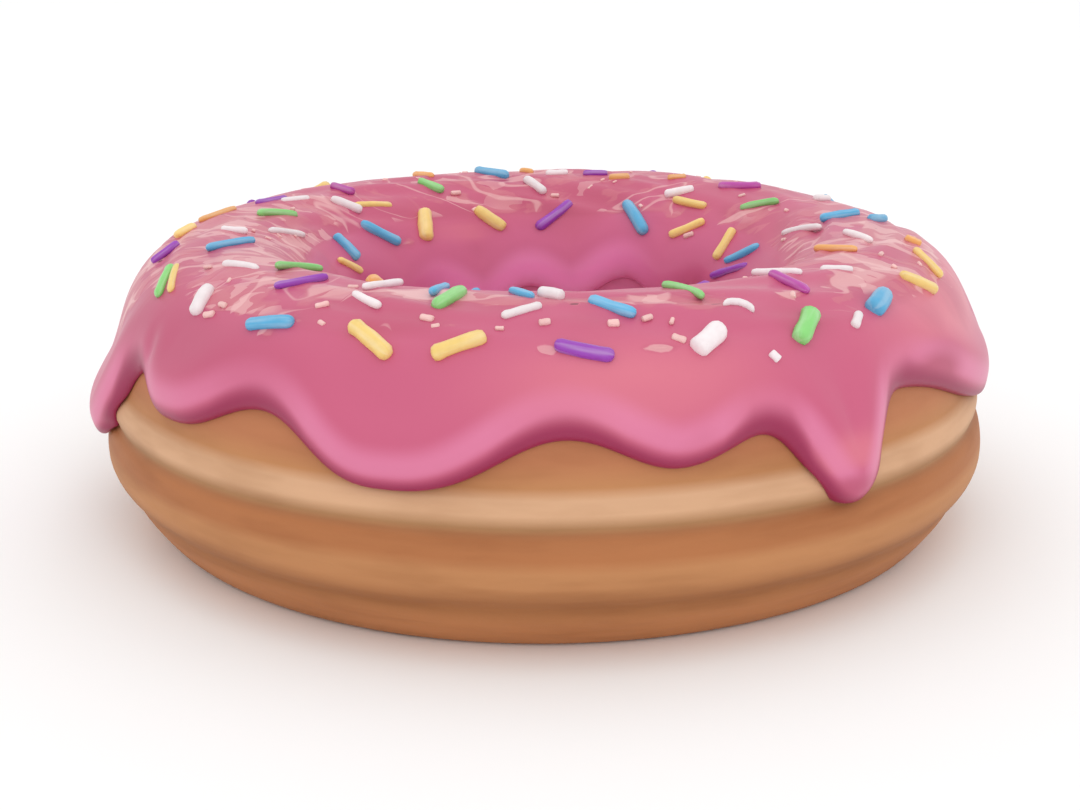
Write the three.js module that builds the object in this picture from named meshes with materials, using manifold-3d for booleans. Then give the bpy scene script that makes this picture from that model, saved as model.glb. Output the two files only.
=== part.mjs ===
// Sprinkle frosted ring doughnut, built with three.js and manifold-3d.
//
// Millimetres, +Z up. The Z axis goes up through the hole, in the middle of the whole doughnut, which
// rests on the plane z = 0 on the flat ring of its foot. -Y is the front.
//
// Every point is given by two angles and a reach. The ring angle turns about the hole's axis, from
// 0 at the front towards +X. The tube angle turns about the middle of the dough's cross-section:
// 0 at the outer side, 90 on top, 180 in the hole and 270 at the foot. The reach is the distance
// from that middle.

import * as THREE from 'three';
import { mergeVertices } from 'three/addons/utils/BufferGeometryUtils.js';
import Module from 'manifold-3d';

// ---- Dough ----
const RING_RADIUS = 33.9;      // hole's axis to the middle of the cross-section
const RING_SHIFT = 0.4;        // hole's axis beside the Z axis, as the icing bulges most at -X
const MIDDLE_HEIGHT = 8.1;     // floor to the middle of the cross-section
const OUTER_REACH = 12.4;      // middle to the outer side
const INNER_REACH = 12.4;      // middle to the hole
const TOP_REACH = 19.6;        // middle to the top
const FOOT_REACH = 13.2;       // middle to the bottom, before the floor flattens it
const OUTER_TOP_POWER = 2.33;  // squareness of each quarter of the cross-section, 2 is an ellipse
const INNER_TOP_POWER = 2.1;
const INNER_FOOT_POWER = 2.2;
const OUTER_FOOT_POWER = 1.53;

// The lower half swelled past the pale ring as it fried: a broad roll all round, [tube angle, half
// width, depth], and narrow folds of the same form, which the icing evens out.
const ROLL = [3.7, 18.5, 1.15];
const FOLDS = [
  [26.5, 5.5, 0.55],           // the pale ring, a low bead
  [18.5, 2.6, -0.5],           // the groove between it and the roll
  [-15, 5, -0.35],             // a shallow crease under the roll
];

// Slow unevenness of hand-cut dough: [waves round the ring, waves round the tube, phase, height].
const LUMPS = [
  [2, 1, 40, 0.11],
  [3, -1, 120, 0.08],
  [5, 2, 230, 0.05],
];

// ---- Icing ----
const ICING_THICKNESS = 2.15;
const SIDE_THINNING = 0.5;     // the icing is this much thinner where it hangs down the outer side,
const THIN_ABOVE = 68;         // from nothing at this tube angle
const THIN_BELOW = 48;         // to the whole of it at this one
// Where the icing set thinner or thicker: [ring angle, tube angle, half widths of both, height].
const SWELLS = [
  [-84, 44, 24, 11, -0.5],
  [-84, 14, 20, 10, -0.35],
  [100, 57, 24, 13, 0.45],
];
const ICING_GAP = 0.35;        // clearance to the dough
const LIP_ROUNDING = 2.4;      // width of the rounded nose of the icing's edge
const BEAD_HEIGHT = 0.45;      // the edge is thicker where the icing gathered
const BEAD_MIDDLE = 3.4;       // edge to the top of the bead
const BEAD_WIDTH = 2.3;
const DRIP_SWELL = 0.01;       // extra thickness at an edge, for each degree that it ran down
const MM_PER_DEGREE = 0.27;    // length along the icing for a degree of tube angle
const EDGE_SPAN = 16;          // degrees of ring angle, each way, searched for the nearest edge

// The icing's outer edge lies at this tube angle between its runs.
const OUTER_EDGE = 49.5;
// Runs of icing down the outer side: [ring angle, degrees run down, width before it, width after
// it, bluntness of its end].
const RUNS = [
  [-80, 41.5, 17, 15, 4],
  [-50, 13, 7.7, 10.8, 2.6],
  [-17, 19.8, 11.3, 13.5, 2.7],
  [14.5, 12.3, 8.3, 9.6, 2],
  [35.5, 33, 6.8, 6.4, 2.5],
  [83.5, 24.5, 24.5, 10, 2.8],
  [109, 12, 8, 9, 2.4],
  [131, 25, 8, 7, 3],
  [153, 10, 8, 9, 2.2],
  [174, 19, 10, 9, 2.8],
  [197, 9, 8, 8, 2.2],
  [219, 29, 7, 8, 3],
  [241, 12, 9, 8, 2.4],
  [260, 15, 7, 8, 2.6],
];

// The edge in the hole is scalloped: [tube angle between the scallops and half their height], and
// waves of [count round the ring, ring angle of one crest, height in degrees].
const INNER_EDGE = 142;
const INNER_WAVES = [
  [12, 170, 4],
  [3, 84, 3.5],
];

// ---- Sprinkles ----
const SPRINKLE_LENGTH = 5.2;
const SPRINKLE_RADIUS = 0.82;
const SPRINKLE_TAPER = 0.4;    // length of the cone at each end
const SPRINKLE_SIDES = 5;
const SLOPE_PROBE = 0.5;       // degrees each way for the slope of the icing under a sprinkle

// Sprinkles strewn over the top: [ring angle, tube angle, heading, length and thickness over the
// usual ones]. The heading turns in the surface, from 0 along the ring towards the hole. Thin ones
// sank into the icing.
const STREWN = [
  // white
  [-117.5, 93.5, -19, 0.75, 0.5], [-83.5, 92.5, 82, 0.55, 0.5], [-95, 105.5, -29, 1.2, 0.5],
  [-54, 84.5, 16, 0.95, 0.5], [-50.5, 69.5, -62, 0.7, 0.85], [-127, 103, -56, 0.75, 0.65],
  [177, 92, 9, 0.55, 0.55], [-178, 102, -53, 0.75, 0.7], [-27, 93.5, 84, 1.1, 0.5],
  [-25, 81, -26, 0.8, 0.5], [1, 89.5, -40, 0.5, 0.75], [-3, 79.5, 30, 0.75, 0.5],
  [145.5, 102.5, 31, 0.7, 0.65], [43.5, 95, -89, 1.15, 0.5], [26, 76.5, -31, 0.55, 0.5],
  [19.5, 67.5, 34, 0.7, 1.2], [116, 84, -86, 0.45, 0.55], [97, 104.5, 35, 1.15, 0.5],
  [79, 91.5, 30, 1.1, 0.5], [42, 66.5, 34, 0.4, 0.55], [51.5, 85.5, -36, 0.65, 0.5],
  [27, 61, -58, 0.2, 0.5],
  // yellow
  [-89.5, 77.5, -34, 0.6, 0.65], [-62.5, 71.5, -26, 1.15, 0.5], [-134, 105.5, -12, 1, 0.5],
  [-108.5, 124.5, -35, 0.8, 0.5], [-145.5, 116.5, 70, 0.85, 1.1], [-165, 116, -45, 0.85, 0.9],
  [-21, 67.5, -32, 1.05, 0.95], [-10, 67.5, 26, 0.95, 0.9], [140.5, 107, -4, 0.95, 0.65],
  [136.5, 117, 37, 0.9, 0.65], [120, 119.5, -79, 0.85, 0.7], [74, 71.5, 44, 1, 0.55],
  [62.5, 70, -46, 0.9, 0.75],
  // blue
  [-70.5, 90.5, -64, 1.15, 0.55], [-35.5, 67.5, 15, 0.95, 0.8], [-130, 116.5, -41, 1.05, 0.8],
  [-113, 118.5, -83, 0.75, 0.75], [-169, 89.5, -55, 1.1, 0.75], [-17, 94, -84, 1.1, 0.5],
  [-3.5, 91, -51, 0.65, 0.5], [153.5, 116, -48, 1.15, 0.9], [111, 120, 45, 0.95, 0.6],
  [9, 80.5, -40, 0.9, 0.7], [98.5, 92, -77, 0.95, 0.7], [97, 81.5, -46, 0.7, 0.65],
  [48.5, 69.5, 19, 0.8, 1.2],
  // green
  [-104.5, 98, -36, 1, 0.6], [-64, 69.5, -33, 1.15, 0.6], [-48.5, 96.5, -83, 1.15, 0.5],
  [-153, 99, -56, 0.7, 0.7], [-13.5, 85, 74, 0.9, 0.8], [21, 88.5, -74, 1.05, 0.5],
  [121.5, 101.5, 42, 0.9, 0.55], [33.5, 68, 40, 0.85, 1.1],
  // violet
  [-114, 88.5, -22, 0.85, 0.5], [-78, 73.5, -62, 0.7, 0.55], [-39, 85.5, 63, 1, 0.5],
  [177, 115.5, 44, 1.1, 0.8], [168.5, 92.5, 4, 0.6, 0.55], [111, 127, 34, 1.1, 0.55],
  [4.5, 66, -15, 1, 0.8],
  // magenta
  [-132.5, 93, -86, 0.7, 0.65], [39, 85, 81, 1.1, 0.6], [134, 92.5, 36, 1, 0.65],
  // orange
  [-101, 81.5, -22, 1.15, 0.5], [-155, 85, -81, 0.9, 0.55], [-176.5, 87.5, -48, 0.4, 0.5],
  [162.5, 96, 14, 0.5, 0.6], [150, 92, 36, 0.45, 0.5], [68, 95.5, 58, 1.15, 0.5],
  [83, 76, -86, 0.35, 0.6],
];

// The rest fill the back and the near wall of the hole row by row, at even steps that are jogged
// at random: [first ring angle, last ring angle, tube angle, count].
const FILL_ROWS = [
  [118, 242, 68, 11],
  [122, 238, 56, 9],
  [-40, 40, 109, 5],
  [-44, 36, 122, 4],
];
const FILL_JOG = 5;            // degrees
const FILL_SHORTEST = 0.7;     // over the usual length
const FILL_THINNEST = 0.55;    // over the usual thickness
const FILL_SEED = 7;
const RANDOM_STEP = 1664525;   // a linear congruential generator
const RANDOM_SHIFT = 1013904223;
const RANDOM_RANGE = 2 ** 32;

// ---- Mesh fineness ----
const RING_LOOPS = 92;
const RING_PROBE = 0.25;       // degrees between the probes that space the loops
const DOUGH_SPANS = [          // [first tube angle, last tube angle, steps]
  [-57, -21, 3],
  [-21, -9, 2],
  [-9, 13, 2],
  [13, 25, 4],
  [25, 35, 2],
  [35, 63, 2],
  [63, 120, 3],
  [120, 180, 3],
  [180, 223, 2],
  [223, 303, 1],
];
const OUTER_SHOULDER = 63;     // outside these tube angles the icing's loops crowd towards its edges
const INNER_SHOULDER = 120;
const ICING_STEPS = [7, 4, 4];
const SAME_POINT = 1e-4;

const cosine = (degrees) => Math.cos(THREE.MathUtils.degToRad(degrees));
const sine = (degrees) => Math.sin(THREE.MathUtils.degToRad(degrees));

// Turn from one angle to another, between -180 and 180 degrees.
const turn = (from, to) => THREE.MathUtils.euclideanModulo(to - from + 180, 360) - 180;

// A smooth hump of height 1 and the given half width; a larger power has a blunter end.
const hump = (offset, width, power = 2) => Math.exp(-(Math.abs(offset / width) ** power));

// ---- Dough surface ----

// Reach of the dough without its folds: four quarters of superellipses, the roll and the lumps.
function plainReach(ring, tube) {
  const across = cosine(tube);
  const up = sine(tube);
  const width = across > 0 ? OUTER_REACH : INNER_REACH;
  const height = up > 0 ? TOP_REACH : FOOT_REACH;
  const outerPower = up > 0 ? OUTER_TOP_POWER : OUTER_FOOT_POWER;
  const innerPower = up > 0 ? INNER_TOP_POWER : INNER_FOOT_POWER;
  const power = across > 0 ? outerPower : innerPower;
  let reach = (Math.abs(across / width) ** power + Math.abs(up / height) ** power) ** (-1 / power);
  reach += foldDepth(ROLL, tube);
  for (const [ringWaves, tubeWaves, phase, size] of LUMPS) {
    reach += size * sine(ringWaves * ring + tubeWaves * tube + phase);
  }
  return reach;
}

function foldDepth([middle, halfWidth, depth], tube) {
  return depth * hump(turn(middle, tube), halfWidth);
}

function foldsDepth(tube) {
  return FOLDS.reduce((sum, fold) => sum + foldDepth(fold, tube), 0);
}

// The point at two angles and a reach, kept above the floor.
function pointAt(ring, tube, reach) {
  const radius = RING_RADIUS + reach * cosine(tube);
  const height = MIDDLE_HEIGHT + reach * sine(tube);
  const side = RING_SHIFT + radius * sine(ring);
  return new THREE.Vector3(side, -radius * cosine(ring), Math.max(0, height));
}

// A point of the dough's surface, or one raised over it.
function doughPoint(ring, tube, raised = 0) {
  return pointAt(ring, tube, plainReach(ring, tube) + foldsDepth(tube) + raised);
}

// ---- Icing surface ----

function outerEdge(ring) {
  let edge = OUTER_EDGE;
  for (const [middle, down, before, after, bluntness] of RUNS) {
    const offset = turn(middle, ring);
    edge -= down * hump(offset, offset < 0 ? before : after, bluntness);
  }
  return edge;
}

function innerEdge(ring) {
  let edge = INNER_EDGE;
  for (const [count, crest, size] of INNER_WAVES) {
    edge += size * cosine(count * (ring - crest));
  }
  return edge;
}

// Distance from a point of the icing to the nearest of an edge's chords, each a degree long, with
// the icing unrolled flat about that point.
function distanceToEdge(ring, tube, edge) {
  const along = THREE.MathUtils.degToRad(RING_RADIUS + OUTER_REACH * cosine(edge(ring)));
  const corner = (k) => new THREE.Vector3(k * along, MM_PER_DEGREE * (edge(ring + k) - tube), 0);
  const here = new THREE.Vector3();
  const nearest = new THREE.Vector3();
  const chord = new THREE.Line3(corner(-EDGE_SPAN), here);
  let distance = Infinity;
  for (let k = 1 - EDGE_SPAN; k <= EDGE_SPAN; k += 1) {
    chord.end = corner(k);
    chord.closestPointToPoint(here, true, nearest);
    distance = Math.min(distance, nearest.length());
    chord.start = chord.end;
  }
  return distance;
}

// A point of the icing's outer face. Its thickness is none at its edges, then a rounded nose, a
// bead and a plain sheet, and the dough's folds show through it only at the nose.
function icingPoint(ring, tube) {
  const hanging = 1 - THREE.MathUtils.smoothstep(tube, THIN_BELOW, THIN_ABOVE);
  let thickness = ICING_THICKNESS - SIDE_THINNING * hanging;
  for (const [ringMiddle, tubeMiddle, ringWidth, tubeWidth, height] of SWELLS) {
    const across = hump(turn(ringMiddle, ring), ringWidth);
    thickness += height * across * hump(tube - tubeMiddle, tubeWidth);
  }
  let rounding = 1;
  for (const edge of [outerEdge, innerEdge]) {
    const distance = distanceToEdge(ring, tube, edge);
    const run = edge === outerEdge ? OUTER_EDGE - edge(ring) : 0;
    thickness += (BEAD_HEIGHT + DRIP_SWELL * run) * hump(distance - BEAD_MIDDLE, BEAD_WIDTH);
    const inward = Math.max(0, 1 - distance / LIP_ROUNDING);
    rounding *= Math.sqrt(1 - inward * inward);
  }
  const folds = (1 - rounding) * foldsDepth(tube);
  return pointAt(ring, tube, plainReach(ring, tube) + folds + ICING_GAP + rounding * thickness);
}

// ---- Meshes ----

// Ring angles at even steps along the icing's outer edge, so that its steep runs get more loops.
function loopAngles() {
  const probes = [0];
  for (let ring = 0; ring < 360; ring += RING_PROBE) {
    const first = icingPoint(ring, outerEdge(ring));
    const second = icingPoint(ring + RING_PROBE, outerEdge(ring + RING_PROBE));
    probes.push(probes[probes.length - 1] + first.distanceTo(second));
  }
  const step = probes[probes.length - 1] / RING_LOOPS;
  const angles = [];
  for (let i = 0; i < RING_LOOPS; i += 1) {
    angles.push(RING_PROBE * probes.findIndex((length) => length >= i * step));
  }
  return angles;
}

const RING_ANGLES = loopAngles();

// A closed skin on loops of points round the cross-section, one loop at each ring angle.
function ringSkin(loopAt) {
  const positions = [];
  const indices = [];
  let loopSteps = 0;
  for (const ring of RING_ANGLES) {
    const loop = loopAt(ring);
    loopSteps = loop.length;
    for (const point of loop) {
      positions.push(point.x, point.y, point.z);
    }
  }
  for (let i = 0; i < RING_LOOPS; i += 1) {
    const here = i * loopSteps;
    const next = ((i + 1) % RING_LOOPS) * loopSteps;
    for (let j = 0; j < loopSteps; j += 1) {
      const k = (j + 1) % loopSteps;
      indices.push(here + j, next + j, next + k);
      indices.push(here + j, next + k, here + k);
    }
  }
  const skin = new THREE.BufferGeometry();
  skin.setAttribute('position', new THREE.Float32BufferAttribute(positions, 3));
  skin.setIndex(indices);
  return skin;
}

const DOUGH_ANGLES = DOUGH_SPANS.flatMap(([first, last, steps]) =>
  Array.from({ length: steps }, (_, k) => THREE.MathUtils.lerp(first, last, k / steps)));

function doughSkin() {
  return ringSkin((ring) => DOUGH_ANGLES.map((tube) => doughPoint(ring, tube)));
}

// Tube angles across the icing from its outer edge up to its inner edge, in three stretches. Their
// steps near each edge grow with the square of their number, because the nose has to be round.
function icingAngles(ring) {
  const [outerSteps, middleSteps, innerSteps] = ICING_STEPS;
  const angles = [];
  for (let k = 0; k < outerSteps; k += 1) {
    angles.push(THREE.MathUtils.lerp(outerEdge(ring), OUTER_SHOULDER, (k / outerSteps) ** 2));
  }
  for (let k = 0; k < middleSteps; k += 1) {
    angles.push(THREE.MathUtils.lerp(OUTER_SHOULDER, INNER_SHOULDER, k / middleSteps));
  }
  for (let k = innerSteps; k >= 0; k -= 1) {
    angles.push(THREE.MathUtils.lerp(innerEdge(ring), INNER_SHOULDER, (k / innerSteps) ** 2));
  }
  return angles;
}

// The icing's outer face, and an underside that follows the dough's own loops up to the edges,
// where the loops that lie beyond an edge fall together and are left out by solidFrom.
function icingSkin() {
  const covered = DOUGH_ANGLES.filter((tube) => tube > 0 && tube < 180).reverse();
  const loopAt = (ring) => {
    const over = icingAngles(ring).map((tube) => icingPoint(ring, tube));
    const under = covered.map((tube) => {
      const kept = THREE.MathUtils.clamp(tube, outerEdge(ring), innerEdge(ring));
      return doughPoint(ring, kept, ICING_GAP);
    });
    return [...over, ...under];
  };
  return ringSkin(loopAt);
}

// A straight rod with a short cone at each end, along its own Y axis.
function sprinkleRod(length, radius) {
  const end = length / 2;
  const shoulder = end - SPRINKLE_TAPER;
  const outline = [
    new THREE.Vector2(0, -end),
    new THREE.Vector2(radius, -shoulder),
    new THREE.Vector2(radius, shoulder),
    new THREE.Vector2(0, end),
  ];
  return new THREE.LatheGeometry(outline, SPRINKLE_SIDES);
}

// Lays a rod in the icing, half sunk, along the surface and turned to its heading.
function laidRod(ring, tube, heading, size, thickness) {
  const before = icingPoint(ring - SLOPE_PROBE, tube);
  const after = icingPoint(ring + SLOPE_PROBE, tube);
  const below = icingPoint(ring, tube - SLOPE_PROBE);
  const above = icingPoint(ring, tube + SLOPE_PROBE);
  const alongRing = after.sub(before).normalize();
  const normal = alongRing.clone().cross(above.sub(below)).normalize();
  const upTube = normal.clone().cross(alongRing);
  const axis = alongRing.multiplyScalar(cosine(heading)).addScaledVector(upTube, sine(heading));
  const side = axis.clone().cross(normal);
  const place = new THREE.Matrix4().makeBasis(side, axis, normal);
  place.setPosition(icingPoint(ring, tube));
  return sprinkleRod(size * SPRINKLE_LENGTH, thickness * SPRINKLE_RADIUS).applyMatrix4(place);
}

// Repeatable random numbers from 0 to 1.
function randomSource(seed) {
  let state = seed;
  return () => {
    state = (state * RANDOM_STEP + RANDOM_SHIFT) % RANDOM_RANGE;
    return state / RANDOM_RANGE;
  };
}

function filledSprinkles() {
  const random = randomSource(FILL_SEED);
  const spots = [];
  for (const [first, last, row, count] of FILL_ROWS) {
    for (let k = 0; k < count; k += 1) {
      const ring = THREE.MathUtils.lerp(first, last, (k + 0.5) / count) + FILL_JOG * (random() - 0.5);
      const tube = row + FILL_JOG * (random() - 0.5);
      const heading = 180 * random();
      const size = THREE.MathUtils.lerp(FILL_SHORTEST, 1, random());
      spots.push([ring, tube, heading, size, THREE.MathUtils.lerp(FILL_THINNEST, 1, random())]);
    }
  }
  return spots;
}

// ---- Fusing the sprinkles to the icing ----

const wasm = await Module();
wasm.setup();

// A manifold-3d solid from a closed three.js geometry, without triangles that lost a side.
function solidFrom(geometry) {
  const bare = geometry.clone();
  bare.deleteAttribute('normal');
  bare.deleteAttribute('uv');
  const merged = mergeVertices(bare, SAME_POINT);
  const triangles = [];
  for (let i = 0; i < merged.index.count; i += 3) {
    const [a, b, c] = merged.index.array.slice(i, i + 3);
    if (a !== b && b !== c && c !== a) {
      triangles.push(a, b, c);
    }
  }
  const vertProperties = new Float32Array(merged.attributes.position.array);
  const triVerts = new Uint32Array(triangles);
  return new wasm.Manifold(new wasm.Mesh({ numProp: 3, vertProperties, triVerts }));
}

function geometryFrom(solid) {
  const { vertProperties, triVerts, numProp } = solid.getMesh();
  const geometry = new THREE.BufferGeometry();
  geometry.setAttribute('position', new THREE.BufferAttribute(new Float32Array(vertProperties), numProp));
  geometry.setIndex(new THREE.BufferAttribute(new Uint32Array(triVerts), 1));
  return geometry;
}

function sprinkledIcing() {
  let solid = solidFrom(icingSkin());
  for (const spot of [...STREWN, ...filledSprinkles()]) {
    solid = solid.add(solidFrom(laidRod(...spot)));
  }
  return geometryFrom(solid);
}

// ---- The doughnut ----

const doughMaterial = new THREE.MeshStandardMaterial({ color: 0xc4875c, roughness: 0.75, metalness: 0 });
const icingMaterial = new THREE.MeshStandardMaterial({ color: 0xd8708c, roughness: 0.3, metalness: 0 });

function namedMesh(name, geometry, material) {
  geometry.computeVertexNormals();
  const mesh = new THREE.Mesh(geometry, material);
  mesh.name = name;
  return mesh;
}

const doughnut = new THREE.Group();
doughnut.add(namedMesh('dough', doughSkin(), doughMaterial));
doughnut.add(namedMesh('icing', sprinkledIcing(), icingMaterial));

export default doughnut;
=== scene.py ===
"""Sprinkle frosted ring doughnut: the finish of its dough, icing and sprinkles.

Metres, +Z up. The Z axis goes up through the hole, in the middle of the whole doughnut, which rests
on z = 0. -Y is the front.

Every surface is worked out from two angles and a reach. The ring angle turns about the hole's axis,
from 0 at the front towards +X. The tube angle turns about the middle of the dough's cross-section:
0 at the outer side, 90 on top, 180 in the hole and 270 at the foot. The reach is the distance from
that middle.
"""

import math

import bpy
import numpy as np
from bpy.props import FloatProperty, FloatVectorProperty, PointerProperty
from bpy.types import Operator, Panel, PropertyGroup
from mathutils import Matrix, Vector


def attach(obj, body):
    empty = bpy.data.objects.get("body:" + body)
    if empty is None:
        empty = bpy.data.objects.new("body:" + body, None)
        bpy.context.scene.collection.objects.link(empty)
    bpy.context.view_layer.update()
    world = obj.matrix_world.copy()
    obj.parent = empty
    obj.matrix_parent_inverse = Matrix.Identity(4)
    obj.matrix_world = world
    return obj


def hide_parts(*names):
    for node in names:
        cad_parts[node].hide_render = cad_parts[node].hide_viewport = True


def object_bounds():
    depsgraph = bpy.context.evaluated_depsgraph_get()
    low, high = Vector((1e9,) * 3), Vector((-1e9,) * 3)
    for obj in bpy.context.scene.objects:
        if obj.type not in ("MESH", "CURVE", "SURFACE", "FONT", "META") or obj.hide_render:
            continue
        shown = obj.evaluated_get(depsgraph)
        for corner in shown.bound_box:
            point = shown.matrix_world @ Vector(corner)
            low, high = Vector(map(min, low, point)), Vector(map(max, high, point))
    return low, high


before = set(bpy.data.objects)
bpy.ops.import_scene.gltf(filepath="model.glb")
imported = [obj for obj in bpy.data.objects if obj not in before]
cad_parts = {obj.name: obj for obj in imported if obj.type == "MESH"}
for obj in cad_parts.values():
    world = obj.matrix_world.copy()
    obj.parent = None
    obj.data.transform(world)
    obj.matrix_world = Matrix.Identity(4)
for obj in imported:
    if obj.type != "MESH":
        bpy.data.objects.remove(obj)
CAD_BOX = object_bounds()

bl_info = {
    "name": "Sprinkle Frosted Doughnut",
    "version": (1, 0, 0),
    "blender": (4, 5, 0),
    "location": "View3D > Sidebar > Doughnut",
    "description": "Builds a ring doughnut with pink icing and sugar sprinkles",
    "category": "Object",
}

MM = 0.001

# ---- Dough ----

# Squareness of each quarter of the cross-section, which is a superellipse. 2 is an ellipse.
OUTER_TOP_POWER = 2.33
INNER_TOP_POWER = 2.1
INNER_FOOT_POWER = 2.2
OUTER_FOOT_POWER = 1.53

# A broad roll all round, [tube angle, half width, depth], and narrow folds of the same form, which
# the icing evens out: the pale ring, the groove under it and the crease under the roll.
ROLL = [3.7, 18.5, 1.05 * MM]
FOLDS = [
    [26.5, 5.5, 0.55 * MM],
    [18.5, 2.6, -0.5 * MM],
    [-15, 5, -0.35 * MM],
]
# Slow unevenness of hand-cut dough: [waves round the ring, waves round the tube, phase, height].
LUMPS = [
    [2, 1, 40, 0.11 * MM],
    [3, -1, 120, 0.08 * MM],
    [5, 2, 230, 0.05 * MM],
]
RING_SHIFT = 0.4 * MM          # hole's axis beside the Z axis, as the icing bulges most at -X
FOOT_ROUNDING = 0.5 * MM       # the foot leaves the floor in a soft curve
DOUGH_LOOPS = 512
DOUGH_STEPS = 176
DOUGH_SEAM = 90                # tube angle of the mesh's seam, under the icing
FLOW_RADIUS = 10               # smaller than the ring's, which draws patterns out along it

# ---- Icing ----

LIP_ROUNDING = 2.4 * MM        # width of the rounded nose of the icing's edge
BEAD_HEIGHT = 0.45 * MM        # the edge is thicker where the icing gathered
BEAD_MIDDLE = 3.4 * MM         # edge to the top of the bead
BEAD_WIDTH = 2.3 * MM
DRIP_SWELL = 0.01 * MM         # extra thickness at an edge, for each degree that it ran down
PER_DEGREE = 0.27 * MM         # length along the icing for a degree of tube angle
EDGE_SPAN = 16                 # degrees of ring angle, each way, searched for the nearest edge
SIDE_THINNING = [68, 48]       # the icing thins out as it hangs down between these tube angles
# Where the icing set thinner or thicker: [ring angle, tube angle, half widths of both, height].
SWELLS = [
    [-84, 44, 24, 11, -0.5 * MM],
    [-84, 14, 20, 10, -0.35 * MM],
    [-56, 53, 1.4, 5, -0.4 * MM],
    [100, 57, 24, 13, 0.45 * MM],
]
ICING_SINK = 0.25 * MM         # the icing's underside lies this deep in the dough
LIP_TUCK = 1.6                 # degrees by which the lip's foot is tucked in under its nose

# The icing's outer edge lies at this tube angle between its runs.
OUTER_EDGE = 49.5
# Runs of icing down the outer side: [ring angle, degrees run down, width before it, width after
# it, bluntness of its end].
RUNS = [
    [-80, 41.5, 17, 15, 4], [-50, 13, 7.7, 10.8, 2.6],
    [-17, 19.8, 11.3, 13.5, 2.7], [14.5, 12.3, 8.3, 9.6, 2],
    [35.5, 33, 6.8, 6.4, 2.5], [83.5, 24.5, 24.5, 10, 2.8],
    [109, 12, 8, 9, 2.4], [131, 25, 8, 7, 3],
    [153, 10, 8, 9, 2.2], [174, 19, 10, 9, 2.8],
    [197, 9, 8, 8, 2.2], [219, 29, 7, 8, 3],
    [241, 12, 9, 8, 2.4], [260, 15, 7, 8, 2.6],
]
# The edge in the hole is scalloped: its mean tube angle, and waves about it of [count round the
# ring, ring angle of one crest, height in degrees].
INNER_EDGE = 142
INNER_WAVES = [
    [12, 170, 4],
    [3, 84, 3.5],
]
OUTER_SHOULDER = 63
INNER_SHOULDER = 120
ICING_LOOPS = 800
ICING_STEPS = [44, 34, 24]     # outer edge to outer shoulder, to inner shoulder, to inner edge
UNDER_STEPS = 18
RING_PROBE = 0.1               # degrees between the probes that space the loops

# The spread icing is rippled on its crown: [first and last tube angle, width of the fade].
CROWN = [70, 112]
CROWN_FADE = 5
RIPPLE_SEED = 3
RIPPLE_WAVES = 26
RIPPLE_HEIGHT = 0.05 * MM
RIPPLE_USUAL = 20              # waves round the tube of a ripple that is as high as that
RIPPLE_RING_WAVES = [3, 22]    # the least, and one more than the most
RIPPLE_TUBE_WAVES = [14, 60]

# How strongly the crown is streaked, with worked dull patches and dark specks, and with paler
# streaks and flakes of painted sheen: at least this, and more about [ring angle, half width,
# share].
LEAST_SPREAD = 0.42
SPREADS = [
    [-80, 52, 0.7],
    [85, 50, 0.6],
    [180, 45, 0.6],
]
SPREAD_WEIGHT = 0.3            # added to the patterns of the worked icing at a share of 1
STRETCH_POWER = 4              # bluntness of the ends of a stretch round the ring
BLOT_POWER = 3                 # bluntness of the rim of a smear or blush
# Single smears of paler icing, a painted sheen: [ring angle, tube angle, half widths of both,
# strength].
SHEEN_SMEARS = [
    [-80, 56, 12, 15, 1.25], [-70, 62, 12, 5, 0.4], [74, 62, 20, 9, 0.8],
    [-62, 66, 8, 3, 0.6], [-77, 76, 6, 3, 0.6],
    [-88, 91, 8, 4, 0.5], [-92, 109, 7, 5, 0.9], [-48, 83, 7, 3, 0.4], [-45, 72, 8, 2.5, 0.6],
    [-35.5, 65, 1.7, 2.3, 1.4], [-27, 84, 12, 3, 0.7], [-19, 89, 9, 5, 1.2], [-16, 73, 5, 2, 0.6],
    [-2, 86, 10, 5, 0.9], [0, 66, 1.7, 2, 1.4], [13.5, 66, 2.5, 1.3, 1.4], [14, 84, 10, 4, 0.8],
    [22, 80, 4, 2.5, 1], [36, 79, 3, 2, 1], [54, 79, 9, 5, 1.1], [83, 84, 9, 5, 1.1],
    [86, 109, 5, 4, 0.6], [107, 125, 10, 4, 0.7], [122, 108, 8, 6, 0.8], [-116, 108, 4, 2, 0.6],
    [-137, 121, 4, 3, 0.8], [-158, 106, 3, 2, 0.8],
]
# Broad blushes of the icing, in the same form: painted shade, dull, where negative, and painted
# light, rosy, where positive.
SHADE_AND_LIGHT_BLUSHES = [
    [-56, 58, 24, 12, -0.7], [-100, 60, 14, 20, -0.3],
    [10, 64, 16, 7, 0.2], [72, 62, 24, 14, 0.8],
    [10, 56, 16, 10, 0.5], [35, 33, 5, 6, 0.6],
    [54.5, 47.5, 7, 6.5, -1.3], [34, 23, 4, 5, -0.9],
    [-159, 129, 9, 4, -0.9], [-154, 121, 10, 4, 0.6],
]
# Bands beside the outer edge, in millimetres from it: the painted shade under the icing's nose,
# wider by the second number for each degree of a notch, and the painted lilac highlight on its
# bead, weaker in notches.
NOSE_SHADE_BAND = [1.2, 0.08]
NOSE_SHADE_CORE = 0.25               # share of the dark band's width that is fully dark
NOTCH_SPAN = 8                 # degrees of ring angle each way over which a notch is measured
DEEPEST_NOTCH = 12             # degrees of tube angle
LILAC_HIGHLIGHT_BAND = [0.7, 1.5, 1.9, 3.5]
LILAC_HIGHLIGHT_SHARE = 0.68
LILAC_HIGHLIGHT_LOSS = 0.6               # share of the lilac that the deepest notch takes away
# Likewise in the hole, where the deeper pink and the lilac, a painted glow of light, fade out.
HOLE_BAND = [3.0, 9.0]
HOLE_LILAC_BAND = [0.9, 3.8]
HOLE_GLOW = [184, 40]          # ring angle and half width of the lilac, which faces the light

# ---- Sprinkles ----

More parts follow.
